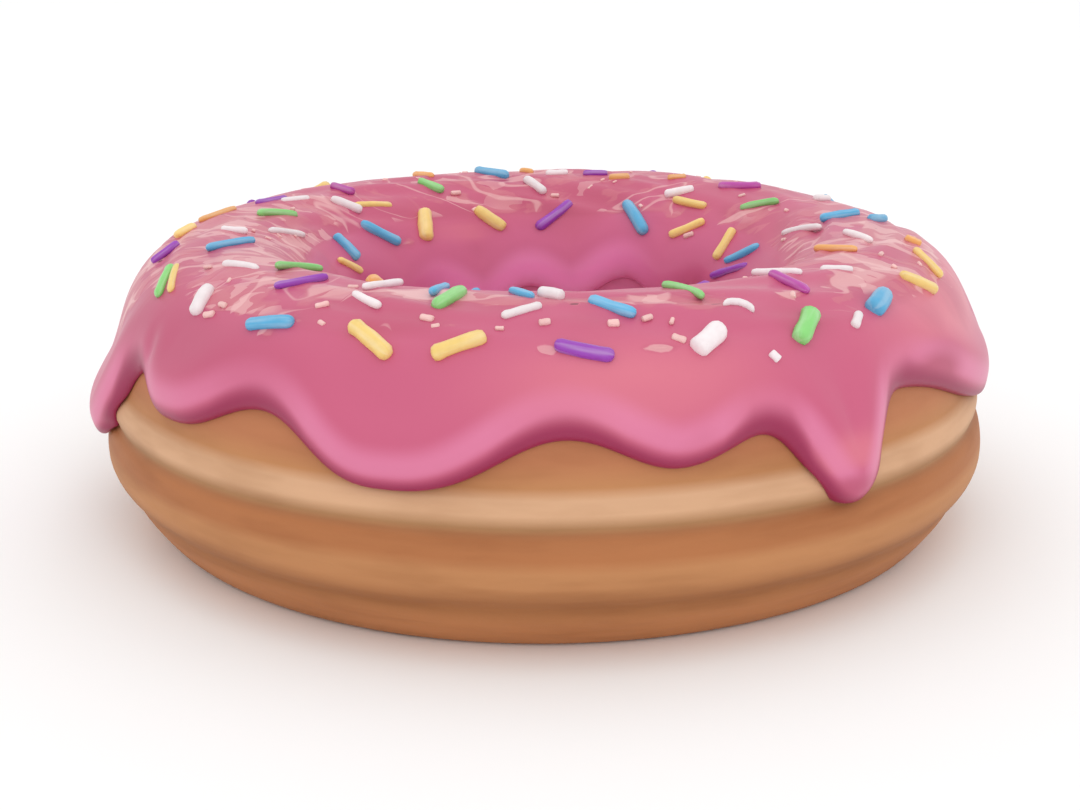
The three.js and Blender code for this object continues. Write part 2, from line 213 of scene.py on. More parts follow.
SPRINKLE_LIFT = 0.2            # middle of a sprinkle above the icing, over its radius
SLOPE_PROBE = 0.5              # degrees each way for the slope of the icing under a sprinkle
SPRINKLE_SIDES = 12
SPRINKLE_STATIONS = 9          # rings of points along a sprinkle, between its two end points
END_POWER = 14                 # bluntness of a sprinkle's end
STATION_POWER = 3              # how closely the rings of points crowd towards both ends
BEND = 0.03                    # largest bend over its length, of a sprinkle that states none
UNEVENNESS = 0.07              # of a sprinkle's radius along it
TINTS = [0.93, 1.05]           # brightness of the darkest and the brightest sprinkle of a colour
GRAIN_LENGTH = 3               # half lengths of a sprinkle for a unit of its grain's coordinates
GRAIN_STEP = 10                # such units from the grain of one sprinkle to the next
SPRINKLE_SEED = 21

# Sprinkles strewn over the top: [ring angle, tube angle, heading, length and thickness over the
# usual ones, and for a bent one its bend over its length]. The heading turns in the surface, from 0
# along the ring towards the hole. Thin ones sank into the icing.
STREWN = {
    "white": [
        [-117.5, 93.5, -19, 0.75, 0.5], [-83.5, 92.5, 82, 0.55, 0.5],
        [-95, 105.5, -29, 1.2, 0.5, 0.03], [-54, 84.5, 16, 0.95, 0.5, -0.05],
        [-50.5, 69.5, -62, 0.7, 0.85], [-127, 103, -56, 0.75, 0.65],
        [177, 92, 9, 0.55, 0.55], [-178, 102, -53, 0.75, 0.7],
        [-27, 93.5, 84, 1.1, 0.5], [-25, 81, -26, 0.8, 0.5], [1, 89.5, -40, 0.5, 0.75],
        [-3, 79.5, 30, 0.75, 0.5], [145.5, 102.5, 31, 0.7, 0.65], [43.5, 95, -89, 1.15, 0.5],
        [26, 76.5, -31, 0.55, 0.5, -0.3], [19.5, 67.5, 34, 0.7, 1.2],
        [116, 84, -86, 0.45, 0.55], [97, 104.5, 35, 1.15, 0.5, 0.06],
        [79, 91.5, 30, 1.1, 0.5], [42, 66.5, 34, 0.4, 0.55], [51.5, 85.5, -36, 0.65, 0.5],
        [27, 61, -58, 0.2, 0.5],
    ],
    "yellow": [
        [-89.5, 77.5, -34, 0.6, 0.65], [-62.5, 71.5, -26, 1.15, 0.5],
        [-134, 105.5, -12, 1, 0.5], [-108.5, 124.5, -35, 0.8, 0.5],
        [-145.5, 116.5, 70, 0.85, 1.1], [-165, 116, -45, 0.85, 0.9],
        [-21, 67.5, -32, 1.05, 0.95], [-10, 67.5, 26, 0.95, 0.9],
        [140.5, 107, -4, 0.95, 0.65], [136.5, 117, 37, 0.9, 0.65],
        [120, 119.5, -79, 0.85, 0.7], [74, 71.5, 44, 1, 0.55], [62.5, 70, -46, 0.9, 0.75],
    ],
    "blue": [
        [-70.5, 90.5, -64, 1.15, 0.55, 0.05], [-35.5, 67.5, 15, 0.95, 0.8],
        [-130, 116.5, -41, 1.05, 0.8], [-113, 118.5, -83, 0.75, 0.75],
        [-169, 89.5, -55, 1.1, 0.75], [-17, 94, -84, 1.1, 0.5],
        [-3.5, 91, -51, 0.65, 0.5], [153.5, 116, -48, 1.15, 0.9],
        [111, 120, 45, 0.95, 0.6], [9, 80.5, -40, 0.9, 0.7], [98.5, 92, -77, 0.95, 0.7],
        [97, 81.5, -46, 0.7, 0.65], [48.5, 69.5, 19, 0.8, 1.2],
    ],
    "green": [
        [-104.5, 98, -36, 1, 0.6, 0.08], [-64, 69.5, -33, 1.15, 0.6],
        [-48.5, 96.5, -83, 1.15, 0.5, 0.1], [-153, 99, -56, 0.7, 0.7],
        [-13.5, 85, 74, 0.9, 0.8], [21, 88.5, -74, 1.05, 0.5, -0.12],
        [121.5, 101.5, 42, 0.9, 0.55, 0.06], [33.5, 68, 40, 0.85, 1.1],
    ],
    "violet": [
        [-114, 88.5, -22, 0.85, 0.5], [-78, 73.5, -62, 0.7, 0.55], [-39, 85.5, 63, 1, 0.5],
        [177, 115.5, 44, 1.1, 0.8], [168.5, 92.5, 4, 0.6, 0.55],
        [111, 127, 34, 1.1, 0.55], [4.5, 66, -15, 1, 0.8],
    ],
    "magenta": [
        [-132.5, 93, -86, 0.7, 0.65], [39, 85, 81, 1.1, 0.6], [134, 92.5, 36, 1, 0.65],
    ],
    "orange": [
        [-101, 81.5, -22, 1.15, 0.5], [-155, 85, -81, 0.9, 0.55],
        [-176.5, 87.5, -48, 0.4, 0.5], [162.5, 96, 14, 0.5, 0.6], [150, 92, 36, 0.45, 0.5],
        [68, 95.5, 58, 1.15, 0.5], [83, 76, -86, 0.35, 0.6],
    ],
}
# The rest fill the back and the near wall of the hole row by row, at even steps that are jogged at
# random: [first ring angle, last ring angle, tube angle, count]. Their colours come round in turn.
FILL_ROWS = [
    [118, 242, 68, 11],
    [122, 238, 56, 9],
    [-40, 40, 109, 5],
    [-44, 36, 122, 4],
]
FILL_JOG = 5                   # degrees
FILL_SHORTEST = 0.7            # over the usual length
FILL_THINNEST = 0.55           # over the usual thickness
FILL_SEED = 7
RANDOM_STEP = 1664525
RANDOM_SHIFT = 1013904223
RANDOM_RANGE = 2 ** 32
FILL_COLOURS = ["blue", "white", "yellow", "violet", "white", "green", "orange"]
# Crumbs that broke off the sprinkles, in the form of a sprinkle: those that lie apart, and the
# count, least and largest [length, thickness] of those strewn over each streaked stretch.
CRUMBS = [
    [-47, 66.5, 20, 0.25, 0.4], [-46, 70, 0, 0.2, 0.35], [-30.5, 76.5, 40, 0.25, 0.35],
    [-28.5, 70.5, -20, 0.15, 0.3], [-15, 75.5, -10, 0.25, 0.4], [-13.5, 73, 15, 0.15, 0.3],
    [-5.5, 73, 0, 0.15, 0.25], [0, 75, 10, 0.2, 0.4], [8.5, 74, 0, 0.2, 0.45],
    [13, 75.5, 20, 0.2, 0.35], [16, 74, 60, 0.15, 0.25], [16, 68.5, -30, 0.25, 0.4],
    [36, 78.5, 50, 0.2, 0.35], [67, 83, 0, 0.2, 0.3], [134.5, 119.5, 30, 0.25, 0.4],
    [-158, 104, 0, 0.25, 0.35], [177, 107, 0, 0.2, 0.3],
]
CRUMBS_A_STRETCH = 14
CRUMB_SIZES = [[0.08, 0.15], [0.2, 0.3]]


# ---- Settings ----

def linear(hex_colour):
    """Linear red, green and blue of an sRGB hex colour."""
    srgb = np.array([int(hex_colour[i:i + 2], 16) for i in (1, 3, 5)]) / 255
    return tuple(np.where(srgb <= 0.04045, srgb / 12.92, ((srgb + 0.055) / 1.055) ** 2.4).tolist())


def length(name, millimetres, description):
    """A length that the user can change."""
    return FloatProperty(name=name, description=description, default=millimetres * MM, min=0,
                         precision=5, subtype="DISTANCE", unit="LENGTH")


def colour(name, hex_colour, description):
    """A colour that the user can change."""
    return FloatVectorProperty(name=name, description=description, default=linear(hex_colour),
                               min=0, max=1, subtype="COLOR")


class DoughSettings(PropertyGroup):
    """Sizes and colours of the dough."""
    ring_radius: length("Ring Radius", 33.9, "Hole's axis to the middle of the cross-section")
    middle_height: length("Middle Height", 8.1, "Floor to the middle of the cross-section")
    outer_reach: length("Outer Reach", 12.4, "Middle to the outer side")
    inner_reach: length("Inner Reach", 12.4, "Middle to the hole")
    top_reach: length("Top Reach", 19.6, "Middle to the top")
    foot_reach: length("Foot Reach", 13.2, "Middle to the bottom, before the floor flattens it")
    upper_crust: colour("Upper Crust", "#B8764F", "Crust just below the icing")
    pale_ring: colour("Pale Ring", "#D5A782", "Ring that the fat didn't reach as the dough floated")
    # Groove: painted shade, a darker line of crust in the groove under the pale ring.
    groove_shade: colour("Groove", "#A96E45", "Brown groove below the pale ring")
    olive: colour("Olive Crust", "#AC7F56", "Olive brown edge of the pale ring, above the groove")
    lower_crust: colour("Lower Crust", "#AF6F43", "Crust of the roll below the pale ring")
    light_crust: colour("Light Crust", "#BC8254", "Lighter crust along the lower side of the roll")
    # Crease: painted shade, a darker line of crust in the crease below the roll.
    crease_shade: colour("Crease", "#A2693E", "Darker crust in the crease below the roll")
    foot_crust: colour("Foot Crust", "#BA7B4D", "Crust round the foot")
    # Hole Crust: a pink stain from the icing, partly painted shade of the recess under its edge.
    stained_shaded_hole_crust: colour("Hole Crust", "#CC6890", "Crust in the hole, stained by the icing over it")


class IcingSettings(PropertyGroup):
    """Sizes and colours of the icing."""
    thickness: length("Thickness", 2.05, "Thickness of the icing on top")
    side_thinning: length("Side Thinning", 0.5, "How much thinner it is where it hangs down")
    gap: length("Gap", 0.3, "Height of the icing's sheet over the dough, before it sinks in")
    pink: colour("Pink", "#C95D7E", "Set icing")
    # Salmon: painted sheen, paler streaks on the crown.
    salmon_sheen: colour("Salmon", "#D07884", "Paler streaks where the icing was dragged over itself")
    # Pale Streak: painted sheen in thin streaks and flakes.
    pale: colour("Pale Streak", "#F0C2C0", "Thin sugary streaks and flakes")
    dull: colour("Dull Pink", "#BE5470", "Worked icing between the streaks")
    # Mauve: painted shade, where the icing blushes dull.
    mauve_shade: colour("Mauve", "#B95170", "Icing where it blushes dull")
    # Rosy Pink: painted light, where the icing blushes rosy.
    rosy_light: colour("Rosy Pink", "#E07D8C", "Icing where it blushes rosy")
    speck: colour("Speck", "#6E3440", "Dark specks")
    # Lilac: painted highlight on the thick bead just above the icing's edge.
    lilac: colour("Lilac", "#E283A8", "Thick bead of icing just above its edge")
    # Deep Pink: painted shade under the icing's nose.
    deep: colour("Deep Pink", "#9A2852", "Underside of the icing's nose")
    hole: colour("Hole Pink", "#CC6088", "Icing inside the hole")
    hole_lilac: colour("Hole Lilac", "#F68CC4", "Icing by its edge in the hole, where light glows in")


class SprinkleSettings(PropertyGroup):
    """Sizes and colours of the sprinkles."""
    rod_length: length("Length", 5.2, "Usual length of a sprinkle")
    rod_radius: length("Radius", 0.82, "Radius of a sprinkle")
    white: colour("White", "#F1E6E8", "White sprinkles")
    yellow: colour("Yellow", "#F3D07A", "Yellow sprinkles")
    blue: colour("Blue", "#59AFDB", "Blue sprinkles")
    green: colour("Green", "#86D276", "Green sprinkles")
    violet: colour("Violet", "#983CB4", "Violet sprinkles")
    magenta: colour("Magenta", "#BC45A5", "Magenta sprinkles")
    orange: colour("Orange", "#ECAA5E", "Orange sprinkles")
    crumb: colour("Crumb", "#EFBEBA", "Crumbs of the sprinkles, stained by the icing")
    glaze: colour("Glaze", "#FFFBF7", "Paler stripes along a sprinkle")


class StudioSettings(PropertyGroup):
    """Camera, light and floor."""
    camera_distance: length("Camera Distance", 188.6, "Camera to the point that it looks at")
    aim_height: length("Aim Height", 9.6, "Height of the point that the camera looks at")
    camera_elevation: FloatProperty(
        name="Camera Elevation", description="Angle of the view above the horizon",
        default=math.radians(17.07), subtype="ANGLE", unit="ROTATION")
    lens: FloatProperty(
        name="Lens", description="Focal length of the camera in millimetres", default=56.43, min=1,
        subtype="DISTANCE_CAMERA", unit="CAMERA")
    room_light: FloatProperty(
        name="Room Light", description="Strength of the even light from all round", default=0.97,
        min=0)
    top_light: FloatProperty(
        name="Top Light", description="Power of the softbox overhead", default=3.5, min=0,
        subtype="POWER", unit="POWER")
    front_light: FloatProperty(
        name="Front Light", description="Power of the softbox at the front", default=0.4, min=0,
        subtype="POWER", unit="POWER")
    floor: colour("Floor", "#FBFBFB", "Pale floor")


# ---- Shapes as functions of two angles, in degrees ----

def cosine(degrees):
    return np.cos(np.radians(degrees))


def sine(degrees):
    return np.sin(np.radians(degrees))


def turn(start, end):
    """Turn from one angle to another, between -180 and 180 degrees."""
    return (end - start + 180) % 360 - 180


def hump(offset, width, power=2):
    """exp(-|offset / width|^power): height 1, and a larger power has a blunter end."""
    return np.exp(-np.abs(offset / width) ** power)


def fade(value, start, end):
    """Smooth step from 0 at start to 1 at end."""
    share = np.clip((value - start) / (end - start), 0, 1)
    return share * share * (3 - 2 * share)


def fold(middle, half_width, depth, tube):
    """A hump of the given depth all round the ring."""
    return depth * hump(turn(middle, tube), half_width)


def folds(tube):
    """The narrow folds of the dough together."""
    return sum(fold(*shape, tube) for shape in FOLDS)


def plain_reach(dough, ring, tube):
    """(|cos / width|^power + |sin / height|^power)^(-1 / power) of the tube angle, with a width,
    height and power for each quarter, plus the hump of the roll and a wave for each lump."""
    across = cosine(tube)
    up = sine(tube)
    width = np.where(across > 0, dough.outer_reach, dough.inner_reach)
    height = np.where(up > 0, dough.top_reach, dough.foot_reach)
    power = np.where(
        across > 0,
        np.where(up > 0, OUTER_TOP_POWER, OUTER_FOOT_POWER),
        np.where(up > 0, INNER_TOP_POWER, INNER_FOOT_POWER))
    reach = (np.abs(across / width) ** power + np.abs(up / height) ** power) ** (-1 / power)
    reach = reach + fold(*ROLL, tube)
    for ring_waves, tube_waves, phase, size in LUMPS:
        reach = reach + size * sine(ring_waves * ring + tube_waves * tube + phase)
    return reach


def point_at(dough, ring, tube, reach):
    """The point at two angles and a reach. Its height is the mean of the plain height and of the
    root of its square and the foot rounding's square, which bends it softly onto the floor."""
    radius = dough.ring_radius + reach * cosine(tube)
    height = dough.middle_height + reach * sine(tube)
    height = (height + np.hypot(height, FOOT_ROUNDING)) / 2
    side = RING_SHIFT + radius * sine(ring)
    return np.stack(np.broadcast_arrays(side, -radius * cosine(ring), height), -1)


def dough_point(dough, ring, tube, raised=0):
    """Point on the dough's surface with its folds, or raised over it."""
    return point_at(dough, ring, tube, plain_reach(dough, ring, tube) + folds(tube) + raised)


def outer_edge(ring):
    """Tube angle of the icing's outer edge: a constant less a lopsided hump for each run."""
    edge = np.full_like(ring, OUTER_EDGE)
    for middle, down, before, after, bluntness in RUNS:
        offset = turn(middle, ring)
        edge -= down * hump(offset, np.where(offset < 0, before, after), bluntness)
    return edge


def inner_edge(ring):
    """Tube angle of the icing's edge in the hole: a constant plus cosine waves round the ring."""
    edge = np.full_like(ring, INNER_EDGE)
    for count, crest, size in INNER_WAVES:
        edge += size * cosine(count * (ring - crest))
    return edge


def edge_distance(dough, ring, tube, edge):
    """Distance to the nearest of an edge's chords, each a degree long, with the icing unrolled flat
    about each point: the smallest length of corner + share x (next corner - corner)."""
    ring, tube = np.broadcast_arrays(ring, tube)
    along = np.radians(dough.ring_radius + dough.outer_reach * cosine(edge(ring)))
    nearest = np.full(ring.shape, np.inf)
    x, y = -EDGE_SPAN * along, PER_DEGREE * (edge(ring - EDGE_SPAN) - tube)
    for k in range(1 - EDGE_SPAN, EDGE_SPAN + 1):
        next_x, next_y = k * along, PER_DEGREE * (edge(ring + k) - tube)
        across, up = next_x - x, next_y - y
        share = np.clip(-(x * across + y * up) / (across ** 2 + up ** 2), 0, 1)
        nearest = np.minimum(nearest, np.hypot(x + share * across, y + share * up))
        x, y = next_x, next_y
    return nearest


def icing_form(dough, icing, ring, tube):
    """Height of the icing's outer face over the plain dough, its fullness, and its distances from
    the outer and the inner edge.

    The fullness goes from 0 at an edge to 1: for both edges, the root of 1 less the square of the
    share of the rounded nose that is still ahead. The height is the gap, the fullness times the
    plain thickness with its swells and a bead behind each edge, and the folds of the dough where
    the icing isn't full."""
    hanging = fade(tube, *SIDE_THINNING)
    thickness = icing.thickness - icing.side_thinning * hanging
    for ring_middle, tube_middle, ring_width, tube_width, height in SWELLS:
        swell = height * hump(turn(ring_middle, ring), ring_width)
        thickness = thickness + swell * hump(tube - tube_middle, tube_width)
    fullness = 1
    distances = []
    for edge, run in ((outer_edge, OUTER_EDGE - outer_edge(ring)), (inner_edge, 0)):
        distance = edge_distance(dough, ring, tube, edge)
        bead = BEAD_HEIGHT + DRIP_SWELL * run
        thickness = thickness + bead * hump(distance - BEAD_MIDDLE, BEAD_WIDTH)
        fullness = fullness * np.sqrt(1 - np.maximum(0, 1 - distance / LIP_ROUNDING) ** 2)
        distances.append(distance)
    height = icing.gap + fullness * thickness + (1 - fullness) * folds(tube)
    return height, fullness, *distances


def icing_top(dough, icing, ring, tube):
    """Point on the icing's plain outer face."""
    height = icing_form(dough, icing, ring, tube)[0]
    return point_at(dough, ring, tube, plain_reach(dough, ring, tube) + height)


def crown_share(tube):
    """1 on the icing's crown, fading to 0 beside it."""
    first, last = CROWN
    return fade(tube, first - CROWN_FADE, first) * (1 - fade(tube, last, last + CROWN_FADE))


def blots(shapes, ring, tube):
    """The sum of oval spots of [ring angle, tube angle, half widths of both, strength]: for each, a
    blunt hump over the distance from its middle, in half widths."""
    total = 0
    for ring_middle, tube_middle, ring_width, tube_width, strength in shapes:
        away = np.hypot(turn(ring_middle, ring) / ring_width, (tube - tube_middle) / tube_width)
        total = total + strength * hump(away, 1, BLOT_POWER)
    return total


def icing_shares(ring, tube, from_outer, from_inner):
    """For each colour that lies over the icing's pink, its share of it, and the spread.

    A notch is as deep as the outer edge lies above the mean of its neighbours. The spread, which is
    0 on plain icing, is what is added to the patterns of the worked icing and of its painted sheen
    before they are cut off."""
    # Painted shade where the blushes are negative, painted light where they are positive.
    blush = blots(SHADE_AND_LIGHT_BLUSHES, ring, tube)
    mauve_shade = np.clip(-blush, 0, 1)
    notch = outer_edge(ring) - (outer_edge(ring - NOTCH_SPAN) + outer_edge(ring + NOTCH_SPAN)) / 2
    notch = np.clip(notch, 0, DEEPEST_NOTCH)
    outer_away = from_outer / MM
    inner_away = from_inner / MM
    # The painted lilac highlight on the bead just above the outer edge.
    start, full, end, gone = LILAC_HIGHLIGHT_BAND
    lilac = fade(outer_away, start, full) * (1 - fade(outer_away, end, gone))
    # Width of the painted shade under the nose, wider in notches.
    nose_shade_width = NOSE_SHADE_BAND[0] + NOSE_SHADE_BAND[1] * notch
    glow = hump(turn(HOLE_GLOW[0], ring), HOLE_GLOW[1], STRETCH_POWER)
    share = LEAST_SPREAD
    for middle, width, strength in SPREADS:
        share = share + strength * hump(turn(middle, ring), width, STRETCH_POWER)
    return {
        "mauve_shade": mauve_shade,
        "rosy_light": np.clip(blush, 0, 1),
        "hole": 1 - fade(inner_away, *HOLE_BAND),
        "hole_lilac": glow * (1 - fade(inner_away, *HOLE_LILAC_BAND)),
        "lilac": LILAC_HIGHLIGHT_SHARE * lilac * (1 - LILAC_HIGHLIGHT_LOSS * notch / DEEPEST_NOTCH) * (1 - mauve_shade),
        "deep": 1 - fade(outer_away, NOSE_SHADE_CORE * nose_shade_width, nose_shade_width),
        # How strongly the worked patterns and the painted sheen show on the crown and in the smears.
        "spread": SPREAD_WEIGHT * (share * crown_share(tube) + blots(SHEEN_SMEARS, ring, tube)),
    }


def ripples(ring, tube):
    """Sum of seeded sine waves that run mostly across the ring, each as high as it is long."""
    random = np.random.default_rng(RIPPLE_SEED)
    height = 0
    for _ in range(RIPPLE_WAVES):
        ring_waves = random.integers(*RIPPLE_RING_WAVES)
        tube_waves = random.uniform(*RIPPLE_TUBE_WAVES)
        phase = random.uniform(0, 360)
        wave = sine(ring_waves * ring + tube_waves * tube + phase)
        height = height + wave * RIPPLE_USUAL / tube_waves
    return RIPPLE_HEIGHT * height


# ---- Meshes ----

def flow_space(ring, tube):
    """Coordinates in millimetres for patterns that are drawn out along the ring: two for the turn
    about the hole's axis, and the length along the tube."""
    ring, tube = np.broadcast_arrays(ring, tube)
    return np.stack([
        FLOW_RADIUS * sine(ring), -FLOW_RADIUS * cosine(ring), tube * PER_DEGREE / MM], -1)


def add_mesh(name, points, quads, triangles=(), **attributes):
    """An object at the origin from arrays of points and faces, with its attributes."""
    corners = np.concatenate([np.ravel(quads), np.ravel(triangles)]).astype(np.int32)
    sizes = np.concatenate([np.full(len(quads), 4), np.full(len(triangles), 3)])
    mesh = bpy.data.meshes.new(name)
    mesh.vertices.add(len(points))
    mesh.vertices.foreach_set("co", points.astype(np.float32).ravel())
    mesh.loops.add(len(corners))
    mesh.loops.foreach_set("vertex_index", corners)
    mesh.polygons.add(len(sizes))
    mesh.polygons.foreach_set("loop_start", (np.cumsum(sizes) - sizes).astype(np.int32))
    mesh.polygons.foreach_set("use_smooth", np.ones(len(sizes), bool))
    mesh.update(calc_edges=True)
    for label, values in attributes.items():
        vector = values.ndim == 2
        layer = mesh.attributes.new(label, "FLOAT_VECTOR" if vector else "FLOAT", "POINT")
        layer.data.foreach_set("vector" if vector else "value", values.astype(np.float32).ravel())
    piece = bpy.data.objects.new(name, mesh)
    bpy.context.scene.collection.objects.link(piece)
    return piece


def ring_quads(loops, steps):
    """Four corners of each face of a skin that closes on itself both ways."""
    here = np.arange(loops)[:, None] * steps
    ahead = np.roll(here, -1, axis=0)
    first = np.arange(steps)
    second = np.roll(first, -1)
    corners = np.stack(np.broadcast_arrays(
        here + first, ahead + first, ahead + second, here + second), -1)
    return corners.reshape(-1, 4)


def steps_between(first, last, count, power=1):
    """count shares from first on towards last, closer together near first for a larger power."""
    return first + (last - first) * (np.arange(count) / count) ** power


def icing_rings(dough, icing):
    """Ring angles at even steps along the icing's outer edge, so that steep runs get more."""
    probes = np.arange(0, 360 + RING_PROBE / 2, RING_PROBE)
    edge = icing_top(dough, icing, probes, outer_edge(probes))
    run = np.concatenate([[0], np.cumsum(np.linalg.norm(np.diff(edge, axis=0), axis=1))])
    return np.interp(run[-1] * np.arange(ICING_LOOPS) / ICING_LOOPS, run, probes)


# ---- Materials ----

def add_node(tree, kind, inputs=None, stops=(), **settings):
    """Adds a node with its settings, colour stops and inputs, each a value or another's socket."""
    node = tree.nodes.new(kind)
    for name, value in settings.items():
        setattr(node, name, value)
    for index, (place, shade) in enumerate(stops):
        ramp = node.color_ramp.elements
        stop = ramp[index] if index < len(ramp) else ramp.new(place)
        stop.position = place
        stop.color = (*shade, 1)
    for name, value in (inputs or {}).items():
        if isinstance(value, bpy.types.NodeSocket):
            tree.links.new(value, node.inputs[name])
        else:
            node.inputs[name].default_value = value
    return node


# Sockets of a mix of colours, by their number.
MIX_FACTOR, MIX_FIRST, MIX_SECOND, MIX_RESULT = 0, 6, 7, 2
WHITE = (1, 1, 1)


def new_material(name):
    """An empty material and its tree."""
    material = bpy.data.materials.new(name)
    material.use_nodes = True
    material.node_tree.nodes.clear()
    return material, material.node_tree


def fried_dough(dough):
    """Fried yeast dough: browned, dry and matt, with a pale ring where it floated out of the fat."""
    material, tree = new_material("fried_yeast_dough")
    tube = add_node(tree, "ShaderNodeAttribute", attribute_name="tube_angle").outputs["Fac"]
    flow = add_node(tree, "ShaderNodeAttribute", attribute_name="flow").outputs["Vector"]
    place = add_node(tree, "ShaderNodeTexCoord").outputs["Object"]
    # The bands waver by half a degree each way, as dough does.
    waver = add_node(tree, "ShaderNodeTexNoise", {"Vector": flow, "Scale": 0.2, "Detail": 1.0})
    shifted = add_node(tree, "ShaderNodeMath", {
        0: waver.outputs["Fac"], 1: 2.0, 2: tube}, operation="MULTIPLY_ADD")
    # Tube angles from the first band to the last become 0 to 1.
    # The groove and the crease are darker bands of painted shade in the crust.
    bands = [
        (-44, dough.foot_crust), (-26, dough.foot_crust), (-17, dough.crease_shade), (-10, dough.crease_shade),
        (-2, dough.light_crust), (4, dough.light_crust), (9, dough.lower_crust),
        (15.5, dough.lower_crust), (18, dough.groove_shade), (20.5, dough.olive), (25, dough.pale_ring),
        (30.5, dough.pale_ring), (34.5, dough.light_crust), (42, dough.upper_crust),
    ]
    first, last = bands[0][0], bands[-1][0]
    band = add_node(tree, "ShaderNodeMapRange", {
        "Value": shifted.outputs[0], "From Min": first + 1.0, "From Max": last + 1.0})
    crust = add_node(tree, "ShaderNodeValToRGB", {"Fac": band.outputs[0]}, stops=[
        ((degrees - first) / (last - first), tuple(shade)) for degrees, shade in bands])
    # In the hole the tube angle runs on from -180, and the stain lies at -214 and further in: partly
    # a stain from the icing and partly painted shade of the recess under the icing's edge.
    stain = add_node(tree, "ShaderNodeMapRange", {
        "Value": tube, "From Min": -190.0, "From Max": -214.0})
    stained = add_node(tree, "ShaderNodeMix", {
        MIX_FACTOR: stain.outputs[0], MIX_FIRST: crust.outputs["Color"],
        MIX_SECOND: (*dough.stained_shaded_hole_crust, 1)}, data_type="RGBA")
    # Soft streaks along the ring, 2 to 4 mm wide, where the crust browned unevenly.
    streak = add_node(tree, "ShaderNodeTexNoise", {
        "Vector": flow, "Scale": 0.3, "Detail": 3.0, "Roughness": 0.5})
    streaked = add_node(tree, "ShaderNodeValToRGB", {"Fac": streak.outputs["Fac"]}, stops=[
        (0.3, (0.86, 0.82, 0.78)), (0.5, WHITE), (0.7, (1.06, 1.07, 1.08))])
    browned = add_node(tree, "ShaderNodeMix", {
        MIX_FACTOR: 1.0, MIX_FIRST: stained.outputs[MIX_RESULT],
        MIX_SECOND: streaked.outputs["Color"],
    }, data_type="RGBA", blend_type="MULTIPLY")
    # Fine crumb of the crust, half a millimetre across, and wrinkles of 3 mm.
    crumb = add_node(tree, "ShaderNodeTexNoise", {
        "Vector": place, "Scale": 1900.0, "Detail": 3.0, "Roughness": 0.6})
    wrinkle = add_node(tree, "ShaderNodeTexNoise", {"Vector": flow, "Scale": 0.35, "Detail": 2.0})
    fine = add_node(tree, "ShaderNodeBump", {
        "Height": crumb.outputs["Fac"], "Distance": 0.05 * MM, "Strength": 0.4})
    coarse = add_node(tree, "ShaderNodeBump", {
        "Height": wrinkle.outputs["Fac"], "Distance": 0.4 * MM, "Strength": 0.5,
        "Normal": fine.outputs["Normal"]})
    shader = add_node(tree, "ShaderNodeBsdfPrincipled", {
        "Base Color": browned.outputs[MIX_RESULT], "Roughness": 0.62, "IOR": 1.45,
        "Specular IOR Level": 0.35, "Normal": coarse.outputs["Normal"]})
    add_node(tree, "ShaderNodeOutputMaterial", {"Surface": shader.outputs[0]})
    return material


